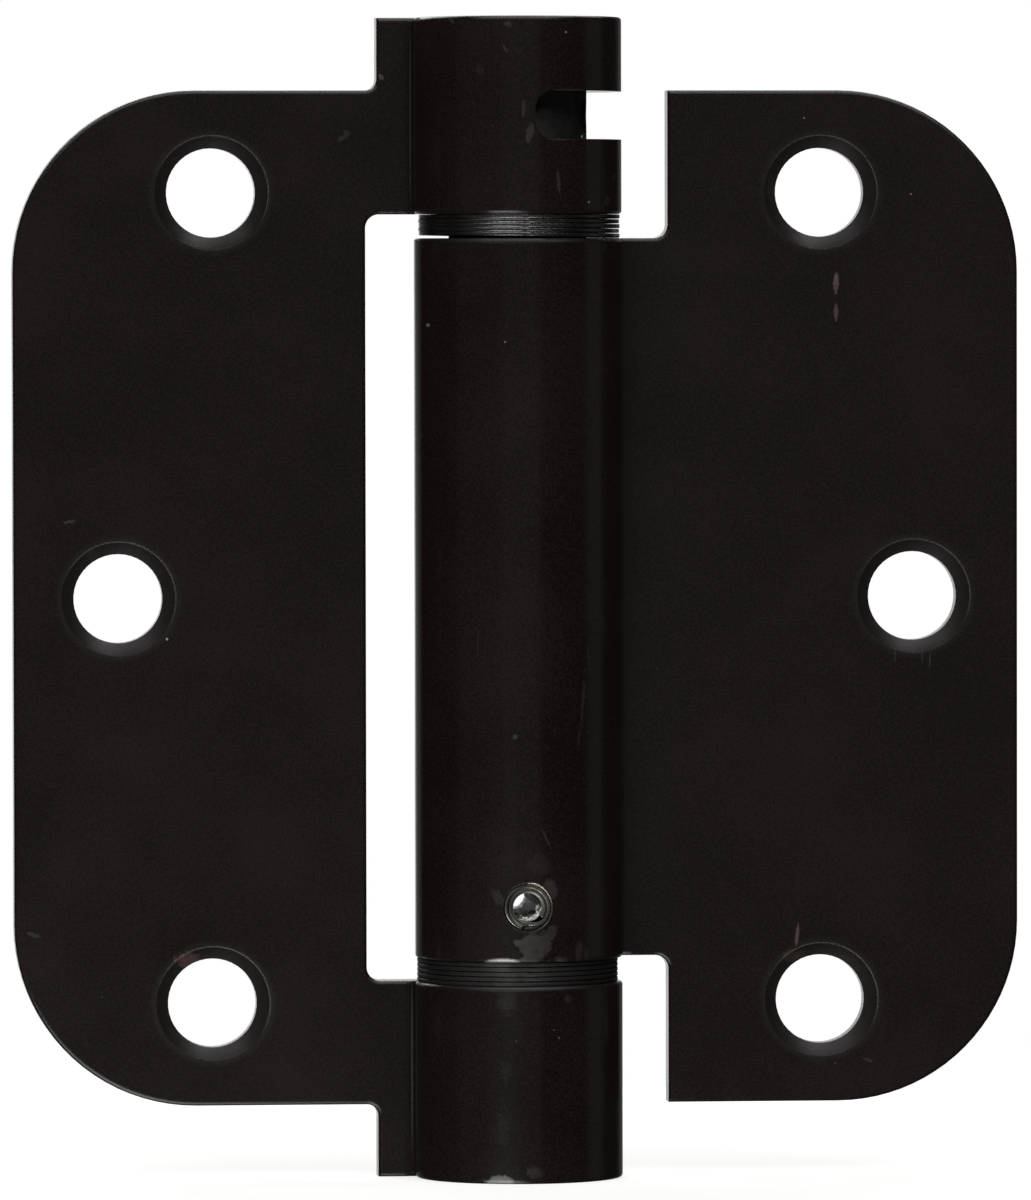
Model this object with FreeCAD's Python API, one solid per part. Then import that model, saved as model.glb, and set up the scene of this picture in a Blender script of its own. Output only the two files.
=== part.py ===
"""A spring loaded door hinge, opened flat, in millimetres.

+Z runs up along the barrel's axis and the origin is on that axis at mid height. +X points to the door
leaf and -Y to the side with the countersinks. One STEP file is written for each separate piece.
"""
import FreeCAD
import Part
import math
import os

from FreeCAD import Vector

# Sheet metal of both leaves
LEAF_HEIGHT = 88.9
OPEN_WIDTH = 88.4
SHEET = 3.0
CLOSED_GAP = 1.6
CORNER_RADIUS = 15.875
WINDOW_WIDTH = 4.2
STRIP_WIDTH = 3.2
WINDOW_FILLET = 1.2
STEP_FILLET = 1.0
EDGE_ROUND = 0.3

# Barrel
BARREL_RISE = 6.35
BORE_RADIUS = 6.1
OUTER_KNUCKLE = 17.2
SWAGE_RADIUS = 3.0
SEAM_GAP = 0.15

# Screw holes, set in from the leaves' outer edge and from their ends
SCREW_HOLE_RADIUS = 3.9
COUNTERSINK_RADIUS = 5.0
COUNTERSINK_ANGLE = 82.0
SCREW_END_INSET = 8.95
PAIR_SCREW_INSET = 17.4
MIDDLE_SCREW_INSET = 9.2

# Tension slot in the top knuckle, angles from +X about the barrel's axis
SLOT_HEIGHT = 4.2
SLOT_FROM = -85.0
SLOT_TO = 85.0
SLOT_CORNER = 1.6

# Adjusting spool and pivot plug
RUNNING_CLEARANCE = 0.05
END_RECESS = 0.5
SPINDLE_CHAMFER = 0.5
SPOOL_REACH = 9.0
HEX_ACROSS_FLATS = 6.0
HEX_SIDES = 6
HEX_FLOOR = 1.0
TOMMY_HOLE_RADIUS = 1.6
TOMMY_HOLE_DEPTH = 4.3
TOMMY_HOLE_COUNT = 4
TOMMY_HOLE_TURN = -15.0
NOTCH_FLOOR = 2.65

# Torsion spring
WIRE = 2.2
COIL_CLEARANCE = 0.6
COIL_SPACE = 0.06
SPRING_BEND = 1.8
LEG_LENGTH = 4.0
LEG_CLEARANCE = 0.15
LEG_END_ROOM = 0.5

# Hollow pin across the lower end of the centre knuckle
PIN_RADIUS = 2.05
PIN_WALL = 0.83
PIN_SLIT = 0.5
PIN_ABOVE_EDGE = 4.8
PIN_FIT = 0.02
PIN_RECESS = 0.1
PIN_CHAMFER = 0.25

# Bearing washers between the knuckles
WASHER_COUNT = 5
WASHER_THICKNESS = 0.35
WASHER_SPACE = 0.01
WASHER_INSET = 0.3
WASHER_PLAY = 0.3
WASHER_EDGE = 0.08
WASHER_JOG = 0.05
STACK_PLAY = 0.31
STACK_SEAT = 0.02
UPPER_TILT = 0.2
UPPER_SHIFT = 0.14
LOWER_SHIFT = -0.12

# Sizes that follow from those above
BARREL_RADIUS = BORE_RADIUS + SHEET
INNER_EDGE = BARREL_RADIUS + WINDOW_WIDTH
STRIP_EDGE = BARREL_RADIUS + STRIP_WIDTH
FRONT = CLOSED_GAP / 2
BACK = FRONT + SHEET
HALF_WIDTH = OPEN_WIDTH / 2
LEAF_TOP = LEAF_HEIGHT / 2
BARREL_TOP = LEAF_TOP + BARREL_RISE
STACK_HEIGHT = WASHER_COUNT * WASHER_THICKNESS + (WASHER_COUNT - 1) * WASHER_SPACE
KNUCKLE_GAP = STACK_HEIGHT + STACK_PLAY
OUTER_START = BARREL_TOP - OUTER_KNUCKLE
CENTRE_TOP = OUTER_START - KNUCKLE_GAP
SLOT_MIDDLE = (BARREL_TOP + OUTER_START) / 2
SPINDLE_RADIUS = BORE_RADIUS - RUNNING_CLEARANCE
SPINDLE_TOP = BARREL_TOP - END_RECESS
SPOOL_END = CENTRE_TOP - SPOOL_REACH
NOTCH_DEPTH = LEG_LENGTH + LEG_END_ROOM
PIN_HEIGHT = PIN_ABOVE_EDGE - CENTRE_TOP
PLUG_END = PIN_HEIGHT + PIN_RADIUS + NOTCH_FLOOR + NOTCH_DEPTH
COIL_RADIUS = BORE_RADIUS - COIL_CLEARANCE - WIRE / 2
WASHER_RADIUS = BARREL_RADIUS - WASHER_INSET
UPPER_DROP = WASHER_RADIUS * math.sin(math.radians(UPPER_TILT))
WASHER_BORE = SPINDLE_RADIUS + WASHER_PLAY
BEYOND = 2 * BARREL_RADIUS
SAME = 1e-4

UP = Vector(0, 0, 1)
ACROSS = Vector(0, 1, 0)
ORIGIN = Vector(0, 0, 0)


def on_circle(radius, degrees, height=0.0):
    """A point at an angle from +X about the barrel's axis."""
    turn = math.radians(degrees)
    return Vector(radius * math.cos(turn), radius * math.sin(turn), height)


def arc(start, through, end):
    return Part.Arc(start, through, end).toShape()


def line(start, end):
    return Part.makeLine(start, end)


def extruded(edges, start, direction):
    """A solid from a closed loop of edges, moved to its start and pushed along a direction."""
    face = Part.Face(Part.Wire(Part.__sortEdges__(edges)))
    face.translate(start)
    return face.extrude(direction)


# The bent sheet, seen from above

def bent_sheet():
    """The sheet's full section: flat leaf, swage and curl, as long as the barrel, for the left leaf."""
    front_bend = SWAGE_RADIUS + SHEET
    bend_y = FRONT + front_bend
    bend_x = -math.sqrt((front_bend + BORE_RADIUS) ** 2 - bend_y ** 2)
    meet = math.degrees(math.atan2(bend_y, bend_x))
    half_bend = math.radians(meet - 90) / 2
    curl_end = 180 - math.degrees(math.asin((FRONT - SEAM_GAP) / BARREL_RADIUS))
    halfway = (meet + curl_end - 360) / 2

    def bend_point(radius, turn):
        return Vector(bend_x + radius * math.sin(turn), bend_y - radius * math.cos(turn), 0)

    def outline(curl_radius, bend_radius, y):
        """The edges of one side of the sheet, from the leaf's outer edge to the curl's end."""
        return [
            line(Vector(-HALF_WIDTH, y, 0), bend_point(bend_radius, 0)),
            arc(bend_point(bend_radius, 0), bend_point(bend_radius, half_bend), on_circle(curl_radius, meet)),
            arc(on_circle(curl_radius, meet), on_circle(curl_radius, halfway), on_circle(curl_radius, curl_end)),
        ]

    edges = outline(BORE_RADIUS, front_bend, FRONT) + outline(BARREL_RADIUS, SWAGE_RADIUS, BACK)
    edges.append(line(Vector(-HALF_WIDTH, FRONT, 0), Vector(-HALF_WIDTH, BACK, 0)))
    edges.append(line(on_circle(BORE_RADIUS, curl_end), on_circle(BARREL_RADIUS, curl_end)))
    return extruded(edges, Vector(0, 0, -BARREL_TOP), Vector(0, 0, 2 * BARREL_TOP))


# The leaves' outlines, seen from the front

def rounded_outline(corners):
    """A closed loop through (x, z, radius) corners, each rounded by its radius."""
    points = [Vector(x, 0, z) for x, z, radius in corners]
    edges = []
    ends = []
    for i, (x, z, radius) in enumerate(corners):
        corner = points[i]
        back = (points[i - 1] - corner).normalize()
        ahead = (points[(i + 1) % len(points)] - corner).normalize()
        if radius:
            half = back.getAngle(ahead) / 2
            reach = radius / math.tan(half)
            centre = corner + (back + ahead).normalize() * (radius / math.sin(half))
            middle = centre + (corner - centre).normalize() * radius
            edges.append(arc(corner + back * reach, middle, corner + ahead * reach))
            ends.append((corner + back * reach, corner + ahead * reach))
        else:
            ends.append((corner, corner))
    for i in range(len(ends)):
        edges.append(line(ends[i - 1][1], ends[i][0]))
    return extruded(edges, Vector(0, -BEYOND, 0), Vector(0, 2 * BEYOND, 0))


def frame_leaf_blank():
    """The left leaf's outline: a window for the centre knuckle, and strips that stand past the leaf."""
    upper = [
        (BEYOND, OUTER_START, 0),
        (BEYOND, BARREL_TOP, 0),
        (-STRIP_EDGE, BARREL_TOP, 0),
        (-STRIP_EDGE, LEAF_TOP, STEP_FILLET),
        (-HALF_WIDTH, LEAF_TOP, CORNER_RADIUS),
    ]
    lower = [(x, -z, radius) for x, z, radius in reversed(upper)]
    window = [(-INNER_EDGE, -OUTER_START, WINDOW_FILLET), (-INNER_EDGE, OUTER_START, WINDOW_FILLET)]
    return rounded_outline(upper + lower + window)


def door_leaf_blank():
    """The right leaf's outline: one tongue, as high as the centre knuckle."""
    upper = [
        (-BEYOND, CENTRE_TOP, 0),
        (INNER_EDGE, CENTRE_TOP, WINDOW_FILLET),
        (INNER_EDGE, LEAF_TOP, 0),
        (HALF_WIDTH, LEAF_TOP, CORNER_RADIUS),
    ]
    lower = [(x, -z, radius) for x, z, radius in reversed(upper)]
    return rounded_outline(upper + lower)


def screw_holes(side):
    """The three countersunk screw holes of one leaf, as cutters."""
    depth = (COUNTERSINK_RADIUS - SCREW_HOLE_RADIUS) / math.tan(math.radians(COUNTERSINK_ANGLE / 2))
    pair_x = HALF_WIDTH - PAIR_SCREW_INSET
    end_z = LEAF_TOP - SCREW_END_INSET
    places = [(pair_x, end_z), (HALF_WIDTH - MIDDLE_SCREW_INSET, 0.0), (pair_x, -end_z)]
    cutters = []
    for x, z in places:
        start = Vector(side * x, FRONT - SHEET, z)
        cutters.append(Part.makeCylinder(SCREW_HOLE_RADIUS, 3 * SHEET, start, ACROSS))
        mouth = Vector(side * x, FRONT, z)
        cutters.append(Part.makeCone(COUNTERSINK_RADIUS, SCREW_HOLE_RADIUS, depth, mouth, ACROSS))
    return cutters


def rounded_edges(leaf):
    """The edges where the sheet's two broad faces meet its cut edges."""
    chosen = []
    for edge in leaf.Edges:
        start = edge.Vertexes[0].Point
        run = edge.Vertexes[-1].Point - start
        straight = isinstance(edge.Curve, Part.Line)
        through_sheet = straight and abs(run.Length - SHEET) < SAME
        along_barrel = straight and math.hypot(run.x, run.y) < SAME and abs(start.x) < STRIP_EDGE - SAME
        if not through_sheet and not along_barrel:
            chosen.append(edge)
    return chosen


def slot_cutter():
    """The ring segment that opens the top knuckle for the tension pin, with rounded corners."""
    sweep = SLOT_TO - SLOT_FROM
    outer = BARREL_RADIUS + SHEET
    inner = BORE_RADIUS - SHEET
    low = Vector(0, 0, SLOT_MIDDLE - SLOT_HEIGHT / 2)
    ring = Part.makeCylinder(outer, SLOT_HEIGHT, low, UP, sweep)
    ring = ring.cut(Part.makeCylinder(inner, SLOT_HEIGHT, low, UP, sweep))
    ring.rotate(ORIGIN, UP, SLOT_FROM)
    corners = [e for e in ring.Edges if e.BoundBox.ZLength < SAME and isinstance(e.Curve, Part.Line)]
    return ring.makeFillet(SLOT_CORNER, corners)


def frame_leaf():
    leaf = bent_sheet().common(frame_leaf_blank())
    leaf = leaf.makeFillet(EDGE_ROUND, rounded_edges(leaf))
    return leaf.cut(screw_holes(-1) + [slot_cutter()])


def door_leaf():
    leaf = bent_sheet().mirror(ORIGIN, Vector(1, 0, 0)).common(door_leaf_blank())
    leaf = leaf.makeFillet(EDGE_ROUND, rounded_edges(leaf))
    return leaf.cut(screw_holes(1) + [pin_hole()])


# Pieces inside the barrel

def pin_hole():
    """The hole for the hollow pin, right through the barrel."""
    reach = BARREL_RADIUS + SHEET
    return Part.makeCylinder(PIN_RADIUS + PIN_FIT, 2 * reach, Vector(0, -reach, PIN_HEIGHT), ACROSS)


def leg_notch(end, way, angle):
    """The notch in a spindle's end that holds one leg of the spring, open to the bore's wall."""
    width = WIRE + 2 * LEG_CLEARANCE
    inner = leg_radius() - WIRE / 2 - LEG_CLEARANCE
    low = min(end - way * SHEET, end + way * NOTCH_DEPTH)
    notch = Part.makeBox(BORE_RADIUS, width, NOTCH_DEPTH + SHEET, Vector(inner, -width / 2, low))
    notch.rotate(ORIGIN, UP, angle)
    return notch


def spindle(low, high):
    """A turned bar that runs in the barrel, with a chamfer at each end."""
    bar = Part.makeCylinder(SPINDLE_RADIUS, high - low, Vector(0, 0, low), UP)
    rims = [e for e in bar.Edges if isinstance(e.Curve, Part.Circle)]
    return bar.makeChamfer(SPINDLE_CHAMFER, rims)


def hex_socket():
    """The hex key's socket, as a cutter that ends above the radial holes."""
    corner = HEX_ACROSS_FLATS / 2 / math.cos(math.pi / HEX_SIDES)
    floor = SLOT_MIDDLE + TOMMY_HOLE_RADIUS + HEX_FLOOR
    points = [on_circle(corner, 360 / HEX_SIDES * i) for i in range(HEX_SIDES)]
    edges = [line(points[i - 1], points[i]) for i in range(HEX_SIDES)]
    return extruded(edges, Vector(0, 0, floor), Vector(0, 0, BARREL_TOP - floor))


def adjusting_spool():
    """The turned spindle, stopped with one radial hole where a bar clears the door leaf."""
    spool = spindle(SPOOL_END, SPINDLE_TOP)
    cutters = [hex_socket(), leg_notch(SPOOL_END, 1, upper_leg_angle())]
    for i in range(TOMMY_HOLE_COUNT):
        angle = TOMMY_HOLE_TURN + 360 / TOMMY_HOLE_COUNT * i
        mouth = on_circle(SPINDLE_RADIUS + SHEET, angle, SLOT_MIDDLE)
        inward = on_circle(-1, angle)
        cutters.append(Part.makeCylinder(TOMMY_HOLE_RADIUS, TOMMY_HOLE_DEPTH + SHEET, mouth, inward))
    return spool.cut(cutters)


def pivot_plug():
    plug = spindle(-SPINDLE_TOP, PLUG_END)
    return plug.cut([pin_hole(), leg_notch(PLUG_END, -1, lower_leg_angle())])


def hollow_pin():
    """A rolled pin with a slit along its underside."""
    flush = math.sqrt(BARREL_RADIUS ** 2 - PIN_RADIUS ** 2)
    length = 2 * (flush - PIN_RECESS)
    start = Vector(0, -length / 2, PIN_HEIGHT)
    pin = Part.makeCylinder(PIN_RADIUS, length, start, ACROSS)
    rims = [e for e in pin.Edges if isinstance(e.Curve, Part.Circle)]
    pin = pin.makeChamfer(PIN_CHAMFER, rims)
    bore = Part.makeCylinder(PIN_RADIUS - PIN_WALL, length, start, ACROSS)
    slit = Part.makeBox(PIN_SLIT, length, 2 * PIN_RADIUS, start + Vector(-PIN_SLIT / 2, 0, -2 * PIN_RADIUS))
    return pin.cut([bore, slit])


# The spring: close coils, a bend at each end and two straight legs

def coil_low():
    return PLUG_END + SPRING_BEND


def coil_turns():
    room = SPOOL_END - SPRING_BEND - coil_low()
    return math.floor(room / (WIRE + COIL_SPACE))


def coil_pitch():
    return (SPOOL_END - SPRING_BEND - coil_low()) / coil_turns()


def slope():
    """The coils' lead angle, in radians."""
    return math.atan2(coil_pitch(), 2 * math.pi * COIL_RADIUS)


def leg_offset():
    """How far a leg stands from the coil's end, along the tangent."""
    return SPRING_BEND * (1 - math.sin(slope()))


def leg_radius():
    return math.hypot(COIL_RADIUS, leg_offset())


def upper_leg_angle():
    return math.degrees(math.atan2(leg_offset(), COIL_RADIUS))


def lower_leg_angle():
    return -upper_leg_angle()


def leg(start, way):
    """The bend and the straight leg from one end of the coils, going up for way 1 and down for way -1."""
    inside = Vector(0, -way * math.sin(slope()), way * math.cos(slope()))
    centre = start + inside * SPRING_BEND
    bend_end = centre + Vector(0, way * SPRING_BEND, 0)
    middle = centre + (start - centre + bend_end - centre).normalize() * SPRING_BEND
    return [arc(start, middle, bend_end), line(bend_end, bend_end + Vector(0, 0, way * LEG_LENGTH))]


def torsion_spring():
    height = coil_pitch() * coil_turns()
    coils = Part.makeHelix(coil_pitch(), height, COIL_RADIUS)
    coils.translate(Vector(0, 0, coil_low()))
    upper = leg(Vector(COIL_RADIUS, 0, coil_low() + height), 1)
    lower = leg(Vector(COIL_RADIUS, 0, coil_low()), -1)
    path = Part.Wire(Part.__sortEdges__(lower + coils.Edges + upper))
    foot = lower[1].Vertexes[1].Point
    section = Part.Wire(Part.makeCircle(WIRE / 2, foot, UP))
    return path.makePipeShell([section], True, True)


# Bearing washers

def washer(low):
    ring = Part.makeCylinder(WASHER_RADIUS, WASHER_THICKNESS, Vector(0, 0, low), UP)
    rims = [e for e in ring.Edges if isinstance(e.Curve, Part.Circle)]
    ring = ring.makeFillet(WASHER_EDGE, rims)
    return ring.cut(Part.makeCylinder(WASHER_BORE, WASHER_THICKNESS, Vector(0, 0, low), UP))


def stack_levels(bottom, space):
    return [bottom + i * (WASHER_THICKNESS + space) for i in range(WASHER_COUNT)]


def upper_washers():
    """A loose stack that leans back a little, closed on the left and open like a fan on the right."""
    top = OUTER_START - STACK_SEAT - UPPER_DROP
    room = KNUCKLE_GAP - STACK_HEIGHT - 2 * STACK_SEAT - UPPER_DROP
    lean = math.degrees(math.asin((room - UPPER_DROP**2 / room) / (2 * WASHER_RADIUS)))
    fan = lean / max(WASHER_COUNT - 1, 1)
    stack = []
    for i, low in enumerate(stack_levels(top - STACK_HEIGHT, WASHER_SPACE)):
        ring = washer(low)
        left_top = Vector(-WASHER_RADIUS, 0, low + WASHER_THICKNESS)
        ring.rotate(left_top, ACROSS, fan * (WASHER_COUNT - 1 - i))
        ring.rotate(Vector(0, 0, top), Vector(1, 0, 0), -UPPER_TILT)
        ring.translate(Vector(UPPER_SHIFT - WASHER_JOG * (i % 2), 0, 0))
        stack.append(ring)
    return stack


def lower_washers():
    """A level stack whose washers are spread evenly between the knuckles, a little to the left."""
    space = (KNUCKLE_GAP - 2 * STACK_SEAT - WASHER_COUNT * WASHER_THICKNESS) / max(WASHER_COUNT - 1, 1)
    stack = []
    for low in stack_levels(STACK_SEAT - OUTER_START, space):
        ring = washer(low)
        ring.translate(Vector(LOWER_SHIFT, 0, 0))
        stack.append(ring)
    return stack


def pieces():
    parts = {
        "frame_leaf": frame_leaf(),
        "door_leaf": door_leaf(),
        "adjusting_spool": adjusting_spool(),
        "pivot_plug": pivot_plug(),
        "hollow_pin": hollow_pin(),
        "torsion_spring": torsion_spring(),
    }
    for i, ring in enumerate(upper_washers()):
        parts[f"upper_washer_{i + 1}"] = ring
    for i, ring in enumerate(lower_washers()):
        parts[f"lower_washer_{i + 1}"] = ring
    return parts


os.makedirs("parts", exist_ok=True)
for name, shape in pieces().items():
    if len(shape.Solids) == 1:
        shape = shape.Solids[0]
    box = shape.BoundBox
    print(
        f"{name:16s} valid {shape.isValid()} solids {len(shape.Solids)} volume {shape.Volume:9.2f}",
        f"x {box.XMin:7.2f} {box.XMax:7.2f} y {box.YMin:6.2f} {box.YMax:6.2f} z {box.ZMin:7.2f} {box.ZMax:7.2f}",
    )
    shape.exportStep(f"parts/{name}.step")
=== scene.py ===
# %% [markdown]
# # A spring loaded door hinge, opened flat
#
# This lesson dresses a finished metal part. The hinge comes in as solids, at its real size and in metres,
# so nothing here moves or reshapes it. What is left to make is what the eye reads as real: a thin dark
# brown paint over pressed steel, bare bearing washers, a rolled pin, dust, chips and plain studio light.
#
# The cells are meant to be run from the top to the bottom. Each one prints what it made.

# %% Load the hinge
import math
import random
from collections import namedtuple

import bmesh
import bpy
from mathutils import Matrix, Vector


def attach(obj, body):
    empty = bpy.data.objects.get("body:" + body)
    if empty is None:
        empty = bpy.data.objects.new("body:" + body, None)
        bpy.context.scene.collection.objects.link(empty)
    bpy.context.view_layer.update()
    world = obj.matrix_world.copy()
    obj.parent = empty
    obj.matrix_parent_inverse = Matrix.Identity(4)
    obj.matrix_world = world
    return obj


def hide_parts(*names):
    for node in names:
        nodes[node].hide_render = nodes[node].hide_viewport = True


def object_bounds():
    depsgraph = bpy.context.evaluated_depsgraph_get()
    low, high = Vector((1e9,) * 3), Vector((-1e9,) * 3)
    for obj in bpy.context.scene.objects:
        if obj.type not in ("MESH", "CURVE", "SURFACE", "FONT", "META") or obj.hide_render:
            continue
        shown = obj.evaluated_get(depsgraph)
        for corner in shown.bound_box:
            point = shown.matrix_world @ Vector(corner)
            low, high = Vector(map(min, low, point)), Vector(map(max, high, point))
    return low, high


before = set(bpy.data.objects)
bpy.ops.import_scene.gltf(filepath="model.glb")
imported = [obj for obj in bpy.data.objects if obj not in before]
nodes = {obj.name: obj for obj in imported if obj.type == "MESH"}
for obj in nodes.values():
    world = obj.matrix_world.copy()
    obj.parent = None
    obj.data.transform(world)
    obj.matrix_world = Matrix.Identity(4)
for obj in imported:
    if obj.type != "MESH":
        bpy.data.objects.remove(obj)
cad_low, cad_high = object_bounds()
print("nodes:", len(nodes), "size in mm:", [round(v * 1000, 1) for v in cad_high - cad_low])

# %% [markdown]
# ## The camera
#
# A product picture like this one is taken from far away with a long lens, so that the two leaves look flat
# and their sides stay parallel. The camera could be placed by eye, but then every later comparison would
# carry that error. Here its angle, distance and lens come from fitting the hinge's own corners and screw
# holes: five degrees to the left of straight on, a little above the middle, and one metre away.

# %% Camera
MM = 0.001
CAMERA_AZIMUTH = math.radians(-5.008)
CAMERA_HEIGHT = math.radians(1.676)
CAMERA_ROLL = math.radians(-0.099)
CAMERA_DISTANCE = 1011.9 * MM
CAMERA_STANDS_FOR = Vector((-0.386, 0.0, -0.408)) * MM
CAMERA_LOOKS_AT = Vector((-0.238, -0.013, -0.199)) * MM
LENS = 346.35
SEES_FROM, SEES_TO = 0.05, 20


def direction(azimuth, height):
    """The unit vector from the hinge towards a place round it. Azimuth 0 is straight in front."""
    flat = math.cos(height)
    return Vector((math.sin(azimuth) * flat, -math.cos(azimuth) * flat, math.sin(height)))


def aimed(place, target):
    """The rotation that makes a camera or a lamp at a place look at a target."""
    return (target - place).to_track_quat("-Z", "Y")


camera_data = bpy.data.cameras.new("camera")
camera_data.lens = LENS
camera_data.clip_start, camera_data.clip_end = SEES_FROM, SEES_TO
camera = bpy.data.objects.new("camera", camera_data)
bpy.context.scene.collection.objects.link(camera)
camera.rotation_mode = "QUATERNION"
camera.location = CAMERA_STANDS_FOR + CAMERA_DISTANCE * direction(CAMERA_AZIMUTH, CAMERA_HEIGHT)
turn_on_axis = Matrix.Rotation(CAMERA_ROLL, 3, "Z").to_quaternion()
camera.rotation_quaternion = aimed(camera.location, CAMERA_LOOKS_AT) @ turn_on_axis
bpy.context.scene.camera = camera
bpy.context.scene.view_settings.view_transform = "Standard"
print("camera in mm:", [round(v / MM, 1) for v in camera.location])

# %% [markdown]
# ## Building node trees
#
# Every finish below is a small tree of shader nodes. They could be wired by hand in the editor, one click
# at a time. In code a few short helpers do it: one adds a node and plugs in its inputs, and the others make
# the nodes that come up again and again. A plug is either a plain value or another node's output.

# %% Helpers for nodes
def plug(tree, socket, value):
    """Links an output to a socket, or sets the socket to a plain value."""
    if isinstance(value, bpy.types.NodeSocket):
        tree.links.new(value, socket)
    else:
        socket.default_value = value


def add(tree, kind, plugs=None, **options):
    """A new node with its options set and its inputs plugged."""
    made = tree.nodes.new(kind)
    for option, value in options.items():
        setattr(made, option, value)
    for name, value in (plugs or {}).items():
        plug(tree, made.inputs[name], value)
    return made


def maths(tree, operation, first, second=0.0, third=0.0):
    """One step of arithmetic on values, and its result."""
    return add(tree, "ShaderNodeMath", {0: first, 1: second, 2: third}, operation=operation).outputs[0]


def vector_maths(tree, operation, first, second):
    """One step of arithmetic on vectors. A dot product gives a value, and the others give a vector."""
    made = add(tree, "ShaderNodeVectorMath", {0: first, 1: second}, operation=operation)
    return made.outputs["Value" if operation == "DOT_PRODUCT" else "Vector"]


def ramp(tree, value, low, high):
    """A smooth step: 0 below low, 1 above high. With low above high it falls instead of rising."""
    made = add(tree, "ShaderNodeMapRange", {"Value": value}, interpolation_type="SMOOTHSTEP")
    made.inputs["From Min"].default_value = min(low, high)
    made.inputs["From Max"].default_value = max(low, high)
    made.inputs["To Min"].default_value = 0.0 if low < high else 1.0
    made.inputs["To Max"].default_value = 1.0 if low < high else 0.0
    return made.outputs["Result"]


def blend(tree, share, first, second):
    """One colour turning into another as the share goes from 0 to 1."""
    made = add(tree, "ShaderNodeMix", data_type="RGBA")
    plug(tree, made.inputs[0], share)
    plug(tree, made.inputs[6], first)
    plug(tree, made.inputs[7], second)
    return made.outputs[2]


def lay_over(tree, colour, over, mask, strength):
    """A colour with another one laid over it where the mask is, at a part of the mask's strength."""
    return blend(tree, maths(tree, "MULTIPLY", mask, strength), colour, over)


def noise(tree, where, scale, detail=2.0, roughness=0.5):
    """Smooth random values from 0 to 1. The scale is in bumps for each unit of the coordinate."""
    plugs = {"Vector": where, "Scale": scale, "Detail": detail, "Roughness": roughness}
    return add(tree, "ShaderNodeTexNoise", plugs).outputs[0]


def in_millimetres(tree):
    """The place of a point on the hinge, at rest, in millimetres."""
    place = add(tree, "ShaderNodeTexCoord").outputs["Object"]
    return add(tree, "ShaderNodeVectorMath", {0: place, "Scale": 1 / MM}, operation="SCALE").outputs[0]


print("helpers for nodes ready")

# %% [markdown]
# ## Building groups and materials
#
# An effect that several finishes share, such as dust, is a node group: a small tree with named sockets, built
# once and placed wherever it is wanted, each time with its own values. More helpers start such a group,
# place it in a tree, start a material, and give a material its fine bumps.

# %% Helpers for groups and materials
def new_group(name, inputs, outputs):
    """An empty node group with named sockets. Inputs hold their own default values."""
    kinds = {float: "NodeSocketFloat", tuple: "NodeSocketVector"}
    group = bpy.data.node_groups.new(name, "ShaderNodeTree")
    for socket, value in inputs.items():
        made = group.interface.new_socket(name=socket, in_out="INPUT", socket_type=kinds[type(value)])
        made.default_value = value
    for socket, value in outputs.items():
        group.interface.new_socket(name=socket, in_out="OUTPUT", socket_type=kinds[value])
    return group, group.nodes.new("NodeGroupInput").outputs, group.nodes.new("NodeGroupOutput").inputs


def use(tree, group, plugs):
    """Places a group in a tree and gives its outputs."""
    made = tree.nodes.new("ShaderNodeGroup")
    made.node_tree = group
    for name, value in plugs.items():
        plug(tree, made.inputs[name], value)
    return made.outputs


def new_material(name):
    """A material with nothing but its output and a Principled shader."""
    material = bpy.data.materials.new(name)
    material.use_nodes = True
    material.node_tree.nodes.clear()
    shader = material.node_tree.nodes.new("ShaderNodeBsdfPrincipled")
    end = material.node_tree.nodes.new("ShaderNodeOutputMaterial")
    material.node_tree.links.new(shader.outputs[0], end.inputs["Surface"])
    return material, material.node_tree, shader.inputs


def roughen(tree, shader, height, strength, distance, normal=None):
    """Gives a shader fine bumps from a height. The distance is in millimetres."""
    bump = add(tree, "ShaderNodeBump", {"Height": height, "Strength": strength, "Distance": distance * MM})
    if normal is not None:
        plug(tree, bump.inputs["Normal"], normal)
    plug(tree, shader["Normal"], bump.outputs[0])


print("helpers for groups and materials ready")

# %% [markdown]
# ## Specks of dust
#
# A dark satin paint shows every grain of dust as a pale point. Single grains could be painted one by one,
# but there are dozens, and they lie at random. A Voronoi pattern scatters one point in each cell. The group
# keeps a few of the cells and draws a small dot round their points, each with its own size.

# %% Group: dust
SMALLEST_DOT = 0.5

dust_group, given, result = new_group(
    "Dust",
    {"Place": (0.0, 0.0, 0.0), "Spacing": 4.0, "Share": 0.3, "Size": 0.06},
    {"Mask": float},
)
cells = add(dust_group, "ShaderNodeTexVoronoi", {"Vector": given["Place"]}, feature="F1")
plug(dust_group, cells.inputs["Scale"], maths(dust_group, "DIVIDE", 1.0, given["Spacing"]))
lot = add(dust_group, "ShaderNodeSeparateColor", {0: cells.outputs["Color"]}).outputs
distance = maths(dust_group, "MULTIPLY", cells.outputs["Distance"], given["Spacing"])
radius = maths(dust_group, "MULTIPLY", given["Size"], maths(dust_group, "ADD", lot[1], SMALLEST_DOT))
inside = maths(dust_group, "LESS_THAN", distance, radius)
chosen = maths(dust_group, "LESS_THAN", lot[0], given["Share"])
plug(dust_group, result["Mask"], maths(dust_group, "MULTIPLY", inside, chosen))
print("group:", dust_group.name, "nodes:", len(dust_group.nodes))

# %% [markdown]
# ## Hairline scratches
#
# Handling leaves fine scratches that run in all directions, and most of them fade out along their length.
# They could be drawn as curves. A cheaper way stretches a noise until its bumps are long streaks, keeps
# only the thin crest of each streak, and breaks the crests up with a second, slower noise.

# %% Group: scratches
CREST_WIDTH = 0.006
BREAKS = 0.16
FADE_OUT = 0.08

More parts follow.
